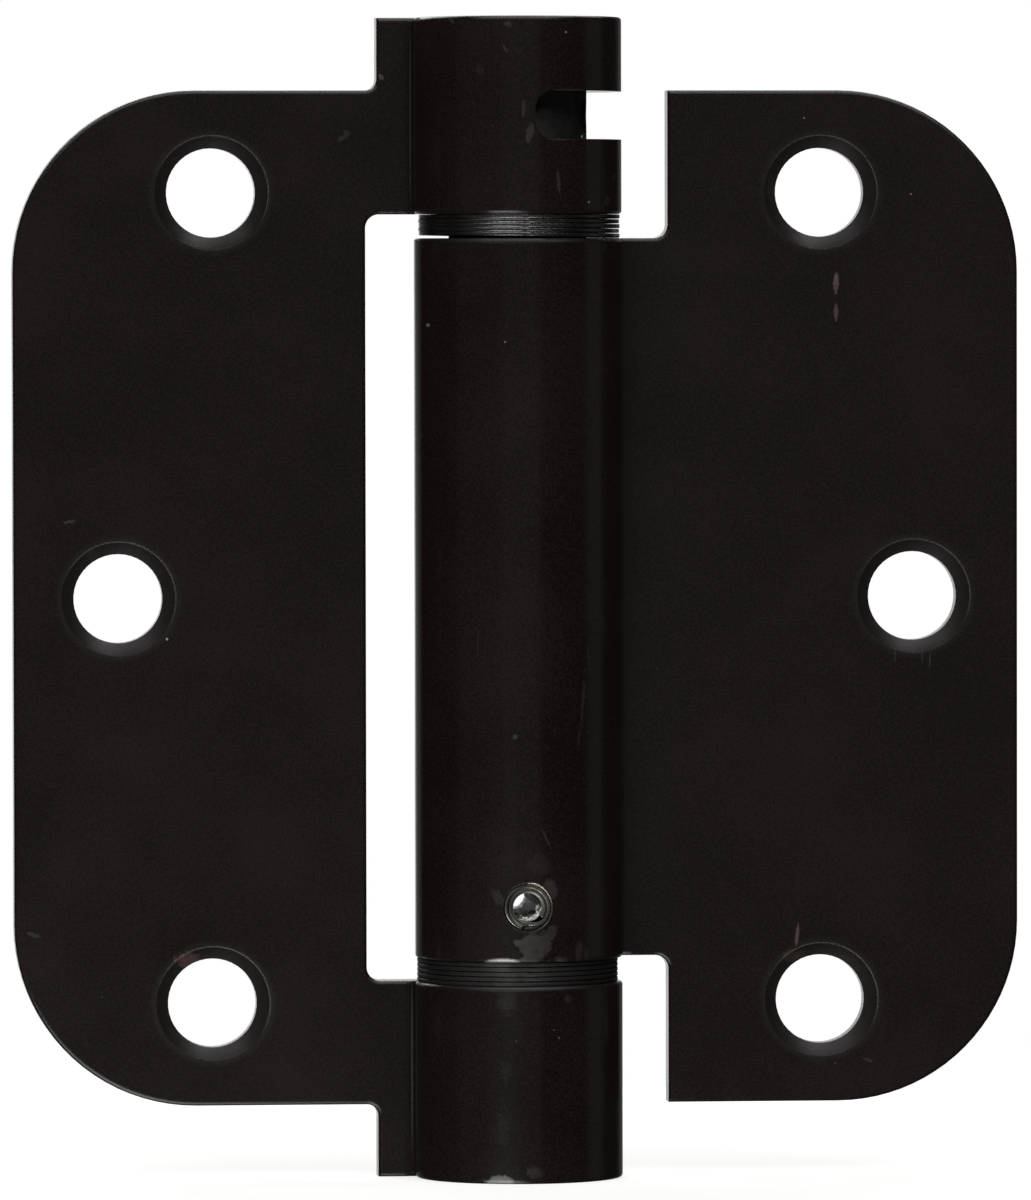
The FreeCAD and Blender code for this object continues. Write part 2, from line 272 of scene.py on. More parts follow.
scratch_group, given, result = new_group(
    "Scratches",
    {"Place": (0.0, 0.0, 0.0), "Turn": 0.0, "Stretch": 0.08, "Fineness": 1.2, "Share": 0.4},
    {"Mask": float},
)
turned = add(scratch_group, "ShaderNodeVectorRotate", {"Vector": given["Place"]}, rotation_type="Y_AXIS")
plug(scratch_group, turned.inputs["Angle"], given["Turn"])
squeeze = add(scratch_group, "ShaderNodeCombineXYZ", {"X": 1.0, "Y": 1.0, "Z": given["Stretch"]})
long = vector_maths(scratch_group, "MULTIPLY", turned.outputs[0], squeeze.outputs[0])
streaks = noise(scratch_group, long, given["Fineness"], detail=1.0)
crest = maths(scratch_group, "ABSOLUTE", maths(scratch_group, "SUBTRACT", streaks, 0.5))
thin = ramp(scratch_group, crest, CREST_WIDTH, 0.0)
slow = noise(scratch_group, given["Place"], BREAKS, detail=1.0)
kept = ramp(scratch_group, maths(scratch_group, "SUBTRACT", given["Share"], slow), 0.0, FADE_OUT)
plug(scratch_group, result["Mask"], maths(scratch_group, "MULTIPLY", thin, kept))
print("group:", scratch_group.name, "nodes:", len(scratch_group.nodes))

# %% [markdown]
# ## Thin paint on the edges
#
# Paint draws back from a sharp edge while it dries, and the edge is also what gets knocked. A mask for this
# needs to know how near an edge is. The Bevel node gives the normal that a rounded edge would have, and
# where it differs from the true normal there is an edge. A noise makes the line ragged. The group puts out
# the ragged mask, the unbroken edge, and the rounded normal, which softens the edge's shading.

# %% Group: edge wear
BENT_FROM = 0.01
BENT_FULLY = 0.12
RAGGED_FADE = 0.6

edge_group, given, result = new_group(
    "Edge wear",
    {"Place": (0.0, 0.0, 0.0), "Width": 0.35, "Raggedness": 0.6, "Fineness": 1.6},
    {"Mask": float, "Edge": float, "Normal": tuple},
)
rounded = add(edge_group, "ShaderNodeBevel", samples=2)
plug(edge_group, result["Normal"], rounded.outputs[0])
plug(edge_group, rounded.inputs["Radius"], maths(edge_group, "MULTIPLY", given["Width"], MM))
true_normal = add(edge_group, "ShaderNodeNewGeometry").outputs["Normal"]
agree = vector_maths(edge_group, "DOT_PRODUCT", rounded.outputs[0], true_normal)
bent = ramp(edge_group, maths(edge_group, "SUBTRACT", 1.0, agree), BENT_FROM, BENT_FULLY)
plug(edge_group, result["Edge"], bent)
ragged = noise(edge_group, given["Place"], given["Fineness"], roughness=0.65)
broken = maths(edge_group, "MULTIPLY", given["Raggedness"], ragged)
worn = maths(edge_group, "SUBTRACT", bent, broken)
plug(edge_group, result["Mask"], ramp(edge_group, worn, 0.0, RAGGED_FADE))
print("group:", edge_group.name, "nodes:", len(edge_group.nodes))

# %% [markdown]
# ## Single marks
#
# Some damage has a place of its own: a chip beside the pin, two rubbed dashes, a run under a screw hole.
# One group draws any of these. It measures how far a point is from the mark's middle, in units of the
# mark's own half width and half height. Those and the lean come in as two vectors, worked out once in
# Python, because nodes that turn and stretch the place for each of eighty marks would cost render time. A
# roughening value from outside eats into the outline, so that no two marks look alike. It comes in as a plug
# because one noise can then serve all the marks of a leaf.

# %% Group: mark
MARK_SLOPE = -2.6
MARK_TOP = 2.9

mark_group, given, result = new_group(
    "Mark",
    {"Place": (0.0, 0.0, 0.0), "Middle": (0.0, 0.0, 0.0), "Across": (1.0, 0.0, 0.0), "Up": (0.0, 0.0, 1.0),
     "Roughening": 0.0, "Raggedness": 0.5, "Strength": 1.0},
    {"Mask": float},
)
away = vector_maths(mark_group, "SUBTRACT", given["Place"], given["Middle"])
across_share = vector_maths(mark_group, "DOT_PRODUCT", away, given["Across"])
up_share = vector_maths(mark_group, "DOT_PRODUCT", away, given["Up"])
across_square = maths(mark_group, "MULTIPLY", across_share, across_share)
squares = maths(mark_group, "MULTIPLY_ADD", up_share, up_share, across_square)
reach = maths(mark_group, "SQRT", squares)
outline = maths(mark_group, "MULTIPLY_ADD", given["Roughening"], given["Raggedness"], reach)
inside = add(mark_group, "ShaderNodeMath", {0: outline, 1: MARK_SLOPE, 2: MARK_TOP}, operation="MULTIPLY_ADD")
inside.use_clamp = True
plug(mark_group, result["Mask"], maths(mark_group, "MULTIPLY", inside.outputs[0], given["Strength"]))
print("group:", mark_group.name, "nodes:", len(mark_group.nodes))

# %% Helper: the mask of one mark
Mark = namedtuple("Mark", "name across up half_width half_height lean ragged shows strength")


def mark_mask(tree, place, roughening, mark):
    """The mask of one mark. Its directions are divided by its half width and half height."""
    sine, cosine = math.sin(math.radians(mark.lean)), math.cos(math.radians(mark.lean))
    plugs = {"Place": place, "Middle": (mark.across, 0.0, mark.up),
             "Across": (cosine / mark.half_width, 0.0, -sine / mark.half_width),
             "Up": (sine / mark.half_height, 0.0, cosine / mark.half_height),
             "Roughening": roughening, "Raggedness": mark.ragged, "Strength": mark.strength}
    return use(tree, mark_group, plugs)["Mask"]


# %% [markdown]
# ## The white room
#
# The picture shows the hinge against pure white. A brightly lit room would give that, but it would also
# wash out a black paint. So the world is white for what looks straight at it, and for reflections of the
# wall straight behind the hinge, which draw the thin light rims along its sides. The other reflections are
# paler behind than in front, where a studio keeps the camera, with a pale patch of ceiling a little to the
# right and a faint one straight to the right. Plain diffuse light comes from all sides. The pairs of numbers
# say where each pale part starts and where it is full, as the cosine of the angle from its middle.

# %% World
WHITE = (1.0, 1.0, 1.0, 1.0)
BACK_REFLECTION = 0.15
CEILING_REFLECTION = 0.18
CEILING_AT = (0.24, 0.05, 0.97)
SIDE_REFLECTION = 0.07
FRONT_REFLECTION = 0.01
WALL_REFLECTION = 0.85
ROOM_LIGHT = 0.30
BEHIND = (0.70, 1.00)
STRAIGHT_BEHIND = (0.970, 0.990)
BESIDE = (0.965, 0.985)
OVERHEAD = (0.90, 0.99)

world = bpy.data.worlds.new("white room")
bpy.context.scene.world = world
world.use_nodes = True
room = world.node_tree
room.nodes.clear()
looking = add(room, "ShaderNodeTexCoord").outputs["Generated"]
side = add(room, "ShaderNodeSeparateXYZ", {0: looking}).outputs
behind = ramp(room, side["Y"], *BEHIND)
beside = ramp(room, side["X"], *BESIDE)
straight_behind = ramp(room, side["Y"], *STRAIGHT_BEHIND)
upwards = vector_maths(room, "DOT_PRODUCT", looking, CEILING_AT)
overhead = ramp(room, upwards, *OVERHEAD)
ray = add(room, "ShaderNodeLightPath").outputs
reflected = maths(room, "MULTIPLY_ADD", behind, BACK_REFLECTION - FRONT_REFLECTION, FRONT_REFLECTION)
reflected = maths(room, "MULTIPLY_ADD", overhead, CEILING_REFLECTION, reflected)
reflected = maths(room, "MULTIPLY_ADD", beside, SIDE_REFLECTION, reflected)
reflected = maths(room, "MULTIPLY_ADD", straight_behind, WALL_REFLECTION, reflected)
is_glossy = ray["Is Glossy Ray"]
dim = maths(room, "ADD", maths(room, "MULTIPLY", is_glossy, reflected),
            maths(room, "MULTIPLY", maths(room, "SUBTRACT", 1.0, is_glossy), ROOM_LIGHT))
seen = maths(room, "MAXIMUM", ray["Is Camera Ray"], ray["Is Transmission Ray"])
strength = maths(room, "MAXIMUM", seen, dim)
background = add(room, "ShaderNodeBackground", {"Color": WHITE, "Strength": strength})
add(room, "ShaderNodeOutputWorld", {"Surface": background.outputs[0]})
print("world:", world.name)

# %% [markdown]
# ## The floor
#
# The hinge stands on the open end of its barrel, on a small pale floor. A plain white floor under plain
# lamps comes out light grey, with an edge against the white world. The floor here adds just enough glow of
# its own, for the camera alone, to reach white where the light falls on it, and it still takes the soft
# shadow. The hinge neither mirrors the floor nor gets light from it, and the floor blocks no lamp, because
# the low card stands beneath it. Seen from below it lets the eye through.

# %% Floor
FLOOR_RADIUS = 110 * MM
FLOOR_GLOW = 0.62
FLOOR_CORNERS = 96
PAPER_DARK = (0.43, 0.43, 0.42, 1.0)
PAPER_LIGHT = (0.47, 0.47, 0.46, 1.0)

floor_mesh = bpy.data.meshes.new("floor")
round_sheet = bmesh.new()
bmesh.ops.create_circle(round_sheet, cap_ends=True, segments=FLOOR_CORNERS, radius=FLOOR_RADIUS)
round_sheet.to_mesh(floor_mesh)
round_sheet.free()
floor = bpy.data.objects.new("floor", floor_mesh)
bpy.context.scene.collection.objects.link(floor)
floor.location.z = cad_low.z
floor.visible_diffuse = False
floor.visible_glossy = False
floor.visible_shadow = False

floor_paper = bpy.data.materials.new("pale floor")
floor_paper.use_nodes = True
paper = floor_paper.node_tree
paper.nodes.clear()
paper_clouds = noise(paper, in_millimetres(paper), scale=0.05, detail=3.0)
paper_colour = blend(paper, paper_clouds, PAPER_DARK, PAPER_LIGHT)
matt = add(paper, "ShaderNodeBsdfDiffuse", {"Color": paper_colour})
to_camera = add(paper, "ShaderNodeLightPath").outputs["Is Camera Ray"]
glow_share = maths(paper, "MULTIPLY", to_camera, FLOOR_GLOW)
glow = add(paper, "ShaderNodeEmission", {"Color": WHITE, "Strength": glow_share})
both = add(paper, "ShaderNodeAddShader", {0: matt.outputs[0], 1: glow.outputs[0]})
clear = add(paper, "ShaderNodeBsdfTransparent")
underside = add(paper, "ShaderNodeNewGeometry").outputs["Backfacing"]
sheet = add(paper, "ShaderNodeMixShader", {0: underside, 1: both.outputs[0], 2: clear.outputs[0]})
add(paper, "ShaderNodeOutputMaterial", {"Surface": sheet.outputs[0]})
floor_mesh.materials.append(floor_paper)
print("floor at height in mm:", round(cad_low.z / MM, 2))

# %% [markdown]
# ## The lamps
#
# The soft streak down the barrel tells where the main light is: high in front, and very large. Two wide grey
# walls, one ahead and one on the left, lay a faint even sheen on the barrel's front and left. The bright dash
# under each knuckle comes from a small pale card, low in front and to the left. Two more soft lamps, high
# behind the hinge, light its back, which the picture doesn't show, and the lower rims of the countersinks.
# All of them are white. Each row gives a lamp's name, its azimuth and height in degrees, how far away it is
# and how wide and high it is in metres, and its power in watts.

# %% Lamps
def soft_lamp(name, azimuth, height, away, size, power):
    """A rectangular soft box that looks at the hinge from a direction, given in degrees."""
    data = bpy.data.lights.new(name, "AREA")
    data.shape = "RECTANGLE"
    data.size, data.size_y = size
    data.energy = power
    lamp = bpy.data.objects.new(name, data)
    bpy.context.scene.collection.objects.link(lamp)
    lamp.location = away * direction(math.radians(azimuth), math.radians(height))
    lamp.rotation_mode = "QUATERNION"
    lamp.rotation_quaternion = aimed(lamp.location, Vector((0.0, 0.0, 0.0)))
    lamp.visible_camera = False
    print("lamp:", name, "at", [round(v, 2) for v in lamp.location], power, "W")


LAMPS = [
    ("main light", -2, 55, 1.3, (2.0, 1.4), 18.0),
    ("grey wall ahead", -1.2, 0, 1.5, (1.146, 0.9), 0.24),
    ("grey wall on the left", -48.5, 0, 1.5, (1.5, 0.9), 0.15),
    ("low card", -22, -46, 0.30, (0.16, 0.28), 0.60),
    ("back light left", 160, 52, 1.1, (0.6, 0.6), 4.0),
    ("back light right", 203, 37, 1.1, (0.6, 0.6), 5.0),
]
for row in LAMPS:
    soft_lamp(*row)

# %% [markdown]
# ## The paint
#
# Both leaves are pressed from steel, bent round the barrel and then sprayed in a very dark brown with a
# satin shine. Black paint isn't one flat colour. It has a fine grain from the spray, it is cloudy over a
# few millimetres, and it wears thin on edges. The paint's colour is written here almost as dark as it
# looks, since its shine adds the rest. The same recipe serves both leaves, and each gets its own marks.

# %% Colours of the paint and of what shows through it
PAINT_DARK = (0.0046, 0.0029, 0.0027, 1.0)
PAINT_LIGHT = (0.0092, 0.0064, 0.0060, 1.0)
WORN_EDGE = (0.030, 0.022, 0.018, 1.0)
BARE_STEEL = (0.0200, 0.0178, 0.0162, 1.0)
THIN_PAINT = (0.0150, 0.0118, 0.0108, 1.0)
RUBBED = (0.062, 0.037, 0.036, 1.0)
# The rims' light steel colour is partly a painted highlight, the bright dash under a knuckle.
RIM_STEEL_AND_HIGHLIGHT = (0.50, 0.50, 0.52, 1.0)
# The lips' light steel colour is partly a painted highlight on the edges.
LIP_STEEL_AND_HIGHLIGHT = (0.60, 0.56, 0.48, 1.0)
# The light line along the curl's seam is a painted highlight.
SEAM_HIGHLIGHT = (0.0150, 0.0138, 0.0138, 1.0)
# The countersinks' tone is rubbed paint, lightened as well to paint the light that the cones catch.
SCREW_WEAR_AND_PAINTED_LIGHT = (0.0165, 0.0145, 0.0140, 1.0)
DUST = (0.26, 0.25, 0.24, 1.0)
PAINT_ROUGHNESS = 0.19
print("paint colours from", PAINT_DARK[:3], "to", PAINT_LIGHT[:3])

# %% [markdown]
# ## Where the marks are
#
# Each mark is a name, its middle in millimetres across and up from the hinge's centre, its half width and
# half height, how far it leans in degrees, how ragged it is, the colour that shows, and how strongly. Large
# round marks stand for the countersinks, rubbed by the screw heads and lightened too, which paints the light
# that the cones catch. Their lips of bright metal are round marks too, a little larger and moved up and to
# the right, and their light colour is partly a painted highlight. Lips show only on edges, so a thin crescent
# is left of them. The curl's closing line beside the barrel is a long thin mark, a painted highlight.

# %% Marks on the door leaf and its knuckle
DOOR_MARKS = [
    # The three countersink marks are worn by the screw heads, and are lightened too as painted light.
    ("upper countersink", 26.80, 35.50, 5.05, 5.05, 0, 0.02, SCREW_WEAR_AND_PAINTED_LIGHT, 1.0),
    ("middle countersink", 35.00, 0.00, 5.05, 5.05, 0, 0.02, SCREW_WEAR_AND_PAINTED_LIGHT, 1.0),
    ("lower countersink", 26.80, -35.50, 5.05, 5.05, 0, 0.02, SCREW_WEAR_AND_PAINTED_LIGHT, 1.0),
    ("scuff in the upper one", 22.50, 35.90, 0.45, 1.30, 0, 0.40, BARE_STEEL, 0.8),
    ("scuff in the lower one", 24.60, -31.70, 1.10, 0.60, 0, 0.40, WORN_EDGE, 1.0),
    # The lips are bare metal on the edge, set where they catch the low card; their light colour is partly a
    # painted highlight.
    ("lip of the upper one", 28.07, 38.22, 5.60, 5.60, 0, 0.02, LIP_STEEL_AND_HIGHLIGHT, 0.30),
    ("lip of the middle one", 36.27, 2.72, 5.60, 5.60, 0, 0.02, LIP_STEEL_AND_HIGHLIGHT, 0.30),
    ("lip of the lower one", 28.07, -32.78, 5.60, 5.60, 0, 0.02, LIP_STEEL_AND_HIGHLIGHT, 0.38),
    # The lip of the pin's hole is bare metal too, and its light colour is partly a painted highlight.
    ("lip of the pin's hole", 0.60, -26.20, 2.30, 2.30, 0, 0.02, LIP_STEEL_AND_HIGHLIGHT, 0.9),
    ("dull upper rim", -1.00, 31.30, 8.00, 0.30, 0, 0.10, PAINT_DARK, 1.0),
    # The worn rim is bare metal sized to the bright dash under the knuckle; its light colour is partly a
    # painted highlight.
    ("worn lower rim with its painted highlight", -2.15, -31.55, 1.50, 0.45, 0, 0.06, RIM_STEEL_AND_HIGHLIGHT, 0.55),
    ("bare patch under the pin", 0.44, -30.12, 1.14, 1.40, 0, 0.30, BARE_STEEL, 1.0),
    ("left tip of the patch", -0.66, -29.86, 0.62, 0.35, 12, 0.25, BARE_STEEL, 1.0),
    ("right side of the patch", 1.41, -29.88, 0.71, 1.15, 15, 0.30, BARE_STEEL, 0.85),
    ("upper lobe of the patch", 2.05, -28.93, 0.50, 0.80, 25, 0.15, THIN_PAINT, 1.0),
    ("foot of the patch", 0.26, -31.17, 0.96, 0.44, 0, 0.30, BARE_STEEL, 1.0),
    ("chip beside the pin", 2.00, -25.12, 0.62, 0.96, -12, 0.15, THIN_PAINT, 1.0),
    ("patch to the right", 4.57, -30.66, 0.34, 0.98, 4, 0.30, THIN_PAINT, 0.75),
    ("patch beside it", 5.22, -30.86, 0.26, 0.61, 12, 0.30, THIN_PAINT, 0.55),
    ("patch on the rim", 2.93, -31.30, 0.63, 0.33, 8, 0.35, THIN_PAINT, 0.75),
    ("scuff over the pin", 1.00, -22.95, 0.95, 0.95, 30, 0.50, THIN_PAINT, 0.34),
    ("smear left of the pin", -2.55, -25.85, 0.42, 0.95, -35, 0.40, THIN_PAINT, 0.40),
    ("long scratch", 4.98, -8.71, 0.13, 2.20, 4, 0.55, THIN_PAINT, 0.75),
    ("scratch above it", 5.55, -5.24, 0.10, 1.00, -6, 0.50, THIN_PAINT, 0.65),
    ("scratch below it", 4.60, -12.01, 0.12, 1.00, 8, 0.50, THIN_PAINT, 0.65),
    ("scratch over the pin", 1.60, -20.65, 0.09, 0.95, -25, 0.30, THIN_PAINT, 0.85),
    ("scratch on the left", -4.22, -3.43, 0.05, 1.80, 3, 0.30, THIN_PAINT, 0.45),
    ("grey spot", -1.09, -11.85, 0.24, 0.24, 0, 0.20, BARE_STEEL, 0.9),
    ("dot on the left", -8.20, 23.93, 0.16, 0.16, 0, 0.0, DUST, 0.35),
    ("dot high up", -1.89, 22.47, 0.09, 0.09, 0, 0.0, DUST, 0.5),
    ("upper rubbed dash", 28.15, 27.52, 0.26, 0.96, 3, 0.20, RUBBED, 1.0),
    ("second rubbed dash", 28.13, 24.97, 0.20, 0.79, 0, 0.30, RUBBED, 0.75),
    ("lower rubbed dash", 24.65, -29.82, 0.17, 1.05, 6, 0.20, RUBBED, 0.85),
    ("run under the hole", 33.34, -5.30, 0.07, 0.60, 0, 0.15, THIN_PAINT, 0.9),
    ("second run", 35.74, -5.31, 0.07, 0.61, 0, 0.15, THIN_PAINT, 0.8),
    ("third run", 36.44, -5.66, 0.07, 0.88, 5, 0.15, THIN_PAINT, 1.0),
    ("dot over the hole", 25.34, 42.01, 0.08, 0.08, 0, 0.0, DUST, 0.6),
    ("dot beside the hole", 34.79, 35.33, 0.08, 0.08, 0, 0.0, DUST, 0.5),
    ("smear low down", 30.92, -40.88, 0.50, 0.16, 20, 0.40, THIN_PAINT, 0.7),
]
print("marks on the door leaf:", len(DOOR_MARKS))

# %% Marks on the frame leaf and its knuckles
FRAME_MARKS = [
    # The three countersink marks are worn by the screw heads, and are lightened too as painted light.
    ("upper countersink", -26.80, 35.50, 5.05, 5.05, 0, 0.02, SCREW_WEAR_AND_PAINTED_LIGHT, 1.0),
    ("middle countersink", -35.00, 0.00, 5.05, 5.05, 0, 0.02, SCREW_WEAR_AND_PAINTED_LIGHT, 1.0),
    ("lower countersink", -26.80, -35.50, 5.05, 5.05, 0, 0.02, SCREW_WEAR_AND_PAINTED_LIGHT, 1.0),
    ("scuff in the middle one", -37.20, 3.80, 0.70, 0.60, 0, 0.40, BARE_STEEL, 0.8),
    ("scuff in the lower one", -29.00, -31.70, 1.20, 0.70, 0, 0.40, RUBBED, 0.9),
    # The lips are bare metal on the edge, set where they catch the low card; their light colour is partly a
    # painted highlight.
    ("lip of the upper one", -25.53, 38.22, 5.60, 5.60, 0, 0.02, LIP_STEEL_AND_HIGHLIGHT, 0.40),
    ("lip of the middle one", -33.73, 2.72, 5.60, 5.60, 0, 0.02, LIP_STEEL_AND_HIGHLIGHT, 0.40),
    ("lip of the lower one", -25.53, -32.78, 5.60, 5.60, 0, 0.02, LIP_STEEL_AND_HIGHLIGHT, 0.58),
    ("dull rim under the washers", -1.00, -33.75, 8.00, 0.30, 0, 0.10, PAINT_DARK, 1.0),
    # The worn foot is bare metal sized to the bright dash at the barrel's foot; its light colour is partly a
    # painted highlight.
    ("worn foot", -2.40, -50.70, 1.20, 0.65, 0, 0.25, RIM_STEEL_AND_HIGHLIGHT, 0.27),
    # The two seam marks are painted highlights: a light line along the curl's closing edge.
    ("painted highlight on the upper seam", -9.34, 42.20, 0.10, 8.60, 0, 0.10, SEAM_HIGHLIGHT, 0.8),
    ("painted highlight on the lower seam", -9.34, -41.00, 0.11, 7.60, 0, 0.10, SEAM_HIGHLIGHT, 1.0),
    ("big rub beside the slot", 0.30, 40.60, 0.34, 0.96, 10, 0.25, THIN_PAINT, 1.0),
    ("narrow rub above it", -0.26, 42.76, 0.16, 0.80, 4, 0.30, THIN_PAINT, 0.75),
    # The slot's lips are bare metal on its edges; their light colour is partly a painted highlight.
    ("upper lip of the slot", 3.80, 44.16, 1.50, 0.32, 0, 0.08, LIP_STEEL_AND_HIGHLIGHT, 0.17),
    ("lower lip of the slot", 3.05, 39.82, 0.95, 0.32, 0, 0.08, LIP_STEEL_AND_HIGHLIGHT, 0.10),
    ("rub under the slot", 2.82, 36.43, 0.18, 1.10, -5, 0.25, THIN_PAINT, 0.9),
    ("dash near the top", -1.85, 47.97, 0.10, 0.46, -30, 0.20, THIN_PAINT, 0.85),
    ("patch near the top", -3.97, 46.07, 0.33, 0.44, 0, 0.40, THIN_PAINT, 0.40),
    ("nick in the top rim", -6.35, 50.44, 0.14, 0.38, -35, 0.20, BARE_STEEL, 0.8),
    ("second nick", -1.59, 50.05, 0.34, 0.24, 20, 0.40, THIN_PAINT, 0.8),
    ("dot near the top", 3.51, 49.36, 0.09, 0.09, 0, 0.0, DUST, 0.8),
    ("dot over the rim", 5.61, 34.62, 0.11, 0.11, 0, 0.0, DUST, 0.4),
    ("rub on the rim", 7.36, 34.71, 0.26, 0.44, 10, 0.40, THIN_PAINT, 0.7),
    ("rub above the rim", 8.09, 36.81, 0.14, 0.35, 0, 0.30, THIN_PAINT, 0.6),
    ("spot under the washers", 3.56, -34.72, 0.33, 0.36, 0, 0.20, THIN_PAINT, 0.7),
    ("scuff in the shine", -1.73, -34.70, 0.80, 1.30, 10, 0.60, THIN_PAINT, 0.25),
    ("core of the scuff", -1.95, -35.30, 0.28, 0.36, 30, 0.40, BARE_STEEL, 0.25),
    ("first low dot", 2.29, -37.38, 0.08, 0.08, 0, 0.0, DUST, 0.16),
    ("second low dot", 2.74, -38.09, 0.09, 0.09, 0, 0.0, DUST, 0.22),
    ("third low dot", -1.05, -38.30, 0.08, 0.08, 0, 0.0, DUST, 0.12),
    ("scuff halfway down", -1.92, -40.83, 0.45, 1.00, 0, 0.60, THIN_PAINT, 0.14),
    ("scuff near the foot", -2.18, -45.90, 0.55, 1.60, 0, 0.60, THIN_PAINT, 0.12),
    ("worn foot of the barrel", 0.58, -49.75, 0.88, 0.50, 0, 0.50, THIN_PAINT, 0.7),
    ("flake near the step", -14.98, 40.63, 0.35, 0.34, 20, 0.45, BARE_STEEL, 0.6),
    ("second flake", -15.42, 40.20, 0.32, 0.24, 0, 0.45, THIN_PAINT, 0.8),
    ("bare corner of the step", -11.90, 45.62, 0.20, 0.30, -35, 0.20, RUBBED, 0.9),
    ("bright speck", -30.78, -3.51, 0.11, 0.12, 0, 0.0, DUST, 1.0),
    ("smear over the hole", -39.33, 6.76, 0.50, 0.15, -10, 0.35, THIN_PAINT, 1.0),
    ("smear near the edge", -42.50, -29.36, 0.60, 0.22, 15, 0.40, THIN_PAINT, 0.6),
]
print("marks on the frame leaf:", len(FRAME_MARKS))

# %% [markdown]
# ## The paint as a material
#
# The colour is built up in the order in which the real surface came about: paint, then thin edges, then
# chips and rubs, then scratches and dust on top. Marks show on the front alone, so behind the sheet their
# place is moved far away, and a lip of bright metal, whose light colour is partly a painted highlight, shows
# only on an edge at the front. Inside a mark, blotches of whole paint are left. The same masks also drive the
# roughness, because bare spots are duller than the paint. The bump is the fine grain of the spray.

# %% Marks in the paint
LIP_DEPTH = 1.3
FRONT_DEPTH = 2.1
FAR_AWAY = 999.0
EDGE_METAL = 0.15


def with_marks(tree, place, roughening, edge, whole_paint, marks):
    """The colour of the paint with its marks, and masks of what is bare and of what is bright metal."""
    depth = add(tree, "ShaderNodeSeparateXYZ", {0: place}).outputs["Y"]
    front_edge = maths(tree, "MULTIPLY", edge["Edge"], maths(tree, "LESS_THAN", depth, LIP_DEPTH))
    away_by = maths(tree, "MULTIPLY", maths(tree, "GREATER_THAN", depth, FRONT_DEPTH), FAR_AWAY)
    sideways = add(tree, "ShaderNodeCombineXYZ", {"X": away_by}).outputs[0]
    front_place = vector_maths(tree, "ADD", place, sideways)
    colour, bare = whole_paint, 0.0
    metal = maths(tree, "MULTIPLY", edge["Mask"], EDGE_METAL)
    for row in marks:
        mark = Mark(*row)
        mask = mark_mask(tree, front_place, roughening, mark)
        # A lip's light colour is partly a painted highlight, kept to the front edges.
        if mark.shows == LIP_STEEL_AND_HIGHLIGHT:
            mask = maths(tree, "MULTIPLY", mask, front_edge)
        else:
            bare = maths(tree, "MAXIMUM", bare, mask)
        colour = blend(tree, mask, colour, mark.shows)
        # Rims and lips are metal, and their light colour is partly painted highlight.
        if mark.shows in (RIM_STEEL_AND_HIGHLIGHT, LIP_STEEL_AND_HIGHLIGHT):
            metal = maths(tree, "MAXIMUM", metal, mask)
    return colour, bare, metal


# %% Paint material
CLOUD_SHARE = 0.35
GRAIN_SHARE = 0.65
TONES_MEET = (0.36, 0.64)
EDGE_SHOWS = 0.45
BLOTCHES = (0.60, 0.36)
BLOTCH_SHOWS = 0.45
SCRATCH_SHOWS = 0.25
DUST_SHOWS = 0.16
BARE_IS_DULLER = 0.25
CLOUD_IS_DULLER = 0.14
GRAIN_BUMP = 0.16
GRAIN_HEIGHT = 0.02


def paint(name, marks, seed):
    """The satin paint of one leaf, with that leaf's own marks."""
    material, tree, shader = new_material(name)
    place = in_millimetres(tree)
    shifted = vector_maths(tree, "ADD", place, (seed, seed, seed))
    clouds = noise(tree, shifted, scale=0.09, roughness=0.6)
    grain = noise(tree, shifted, scale=6.0, detail=0.0)
    mottle = maths(tree, "ADD", maths(tree, "MULTIPLY", clouds, CLOUD_SHARE),
                   maths(tree, "MULTIPLY", grain, GRAIN_SHARE))
    colour = blend(tree, ramp(tree, mottle, *TONES_MEET), PAINT_DARK, PAINT_LIGHT)
    edge = use(tree, edge_group, {"Place": shifted, "Width": 0.22, "Raggedness": 0.7})
    whole_paint = lay_over(tree, colour, WORN_EDGE, edge["Mask"], EDGE_SHOWS)
    lumps = noise(tree, shifted, scale=2.4, roughness=0.7)
    roughening = maths(tree, "SUBTRACT", maths(tree, "MULTIPLY", lumps, 4.0), 2.0)
    colour, bare, metal = with_marks(tree, place, roughening, edge, whole_paint, marks)
    left_whole = ramp(tree, noise(tree, shifted, scale=1.5, roughness=0.7), *BLOTCHES)
    colour = lay_over(tree, colour, whole_paint, maths(tree, "MULTIPLY", bare, left_whole), BLOTCH_SHOWS)
    hair = use(tree, scratch_group, {"Place": shifted, "Turn": 0.5, "Fineness": 0.9, "Share": 0.42})["Mask"]
    colour = lay_over(tree, colour, THIN_PAINT, hair, SCRATCH_SHOWS)
    dust = use(tree, dust_group, {"Place": shifted, "Spacing": 2.6, "Share": 0.10, "Size": 0.05})["Mask"]
    plug(tree, shader["Base Color"], lay_over(tree, colour, DUST, dust, DUST_SHOWS))
    duller = maths(tree, "MULTIPLY_ADD", maths(tree, "MAXIMUM", bare, dust), BARE_IS_DULLER, PAINT_ROUGHNESS)
    cloudy = maths(tree, "MULTIPLY_ADD", maths(tree, "SUBTRACT", clouds, 0.5), CLOUD_IS_DULLER, duller)
    plug(tree, shader["Roughness"], cloudy)
    plug(tree, shader["Metallic"], metal)
    roughen(tree, shader, grain, GRAIN_BUMP, GRAIN_HEIGHT, edge["Normal"])
    print("material:", name, "nodes:", len(tree.nodes))
    return material


def dress(node_name, material):
    """Gives one of the hinge's solids its finish in place of the plain one that it came with."""
    slots = nodes[node_name].material_slots
    if len(slots) == 0:
        nodes[node_name].data.materials.append(material)
    for material_slot in slots:
        material_slot.material = material
    print("dressed", node_name, "in", material.name)


